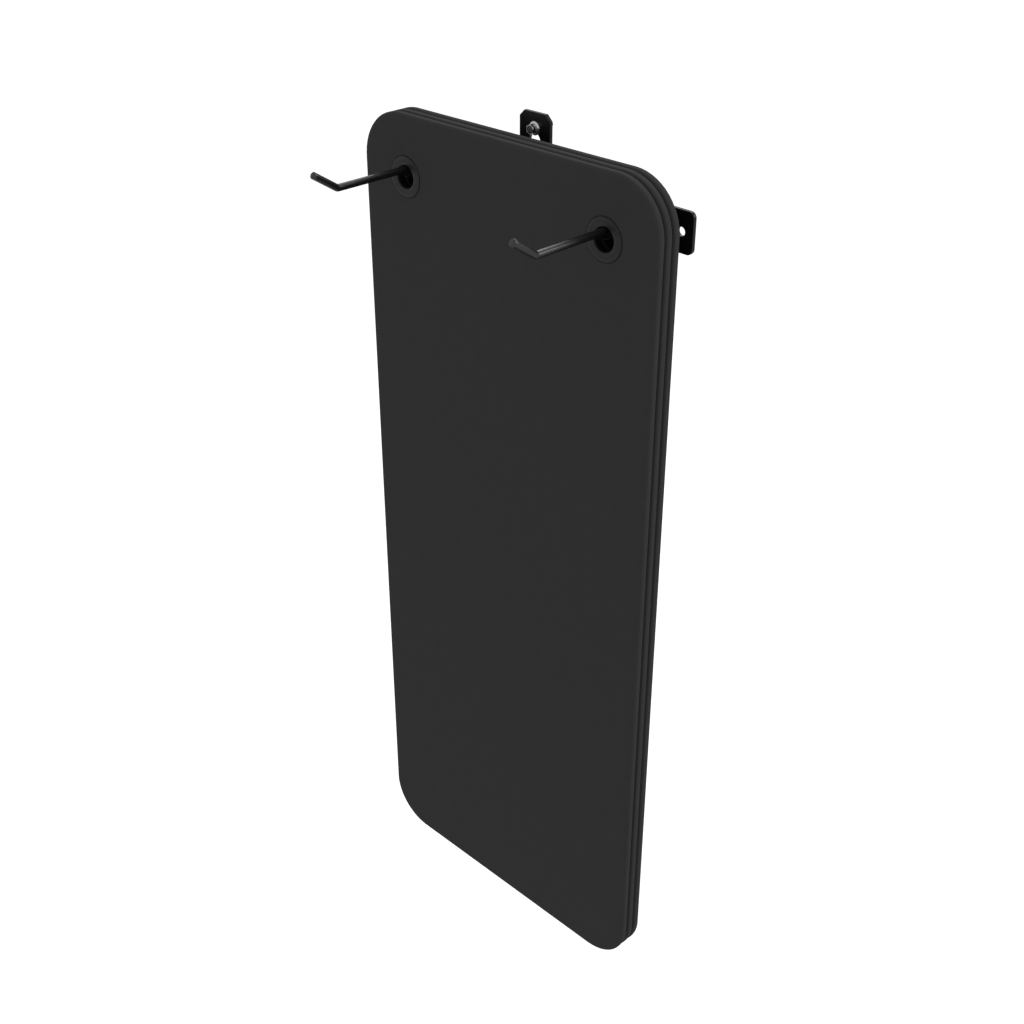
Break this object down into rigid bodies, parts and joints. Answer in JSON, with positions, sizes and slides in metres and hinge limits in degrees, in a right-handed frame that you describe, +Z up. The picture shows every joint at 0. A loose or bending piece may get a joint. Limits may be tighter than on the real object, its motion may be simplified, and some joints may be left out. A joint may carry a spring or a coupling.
{
  "type": "wall rack with hanging exercise mats",
  "caption": "Wall-mounted steel rack: a crossbar on an upright strap carries round upturned pegs that hold a stack of foam exercise mats by their eyelets.",
  "frame": {"origin": "on the wall face of the upright strap, level with the axes of the pegs and midway between them", "axes": "+Z up, +Y into the wall, so the rack and mats stand out towards -Y, and +X to the right as seen from the front"},
  "size_m": [0.597, 0.2837, 1.4264],
  "materials": {
    "powder_coated_steel": "fine satin black powder coat on laser-cut flat steel",
    "satin_black_rod": "smooth satin black coat on round steel bar",
    "blackened_steel": "black-oxide fasteners, satin",
    "zinc_plated_steel": "bright zinc plate",
    "eyelet_plastic": "moulded black plastic, fine matt grain",
    "foam": "matt dark grey closed-cell foam with a fine skin"
  },
  "bodies": {
    "rack": {"crossbar": "powder_coated_steel", "wall_strap": "powder_coated_steel", "strap_screw_upper": "blackened_steel", "strap_screw_lower": "blackened_steel", "peg_left": "satin_black_rod", "peg_washer_left": "blackened_steel", "peg_front_nut_left": "blackened_steel", "peg_rear_nut_left": "blackened_steel", "peg_right": "satin_black_rod", "peg_washer_right": "blackened_steel", "peg_front_nut_right": "blackened_steel", "peg_rear_nut_right": "blackened_steel", "flat_washer_upper": "zinc_plated_steel", "spring_washer_upper": "zinc_plated_steel", "wall_bolt_upper": "zinc_plated_steel", "flat_washer_lower": "zinc_plated_steel", "spring_washer_lower": "zinc_plated_steel", "wall_bolt_lower": "zinc_plated_steel"},
    "front_mat": {"foam_front": "foam", "eyelet_front_left": "eyelet_plastic", "eyelet_lock_front_left": "eyelet_plastic", "eyelet_front_right": "eyelet_plastic", "eyelet_lock_front_right": "eyelet_plastic"},
    "middle_mat": {"foam_middle": "foam", "eyelet_middle_left": "eyelet_plastic", "eyelet_lock_middle_left": "eyelet_plastic", "eyelet_middle_right": "eyelet_plastic", "eyelet_lock_middle_right": "eyelet_plastic"},
    "rear_mat": {"foam_rear": "foam", "eyelet_rear_left": "eyelet_plastic", "eyelet_lock_rear_left": "eyelet_plastic", "eyelet_rear_right": "eyelet_plastic", "eyelet_lock_rear_right": "eyelet_plastic"}
  },
  "joints": [
    {"name": "front_mat_slide", "type": "slide", "parent": "rack", "child": "front_mat", "axis": [0, -0.988, 0.1548], "range_m": [0, 0.3]},
    {"name": "middle_mat_slide", "type": "slide", "parent": "rack", "child": "middle_mat", "axis": [0, -0.99, 0.1412], "range_m": [0, 0.27]},
    {"name": "rear_mat_slide", "type": "slide", "parent": "rack", "child": "rear_mat", "axis": [0, -0.9915, 0.1299], "range_m": [0, 0.24]}
  ],
  "couplings": [
    {"joint": "middle_mat_slide", "follows": "front_mat_slide", "ratio": 0.9},
    {"joint": "rear_mat_slide", "follows": "front_mat_slide", "ratio": 0.8}
  ]
}
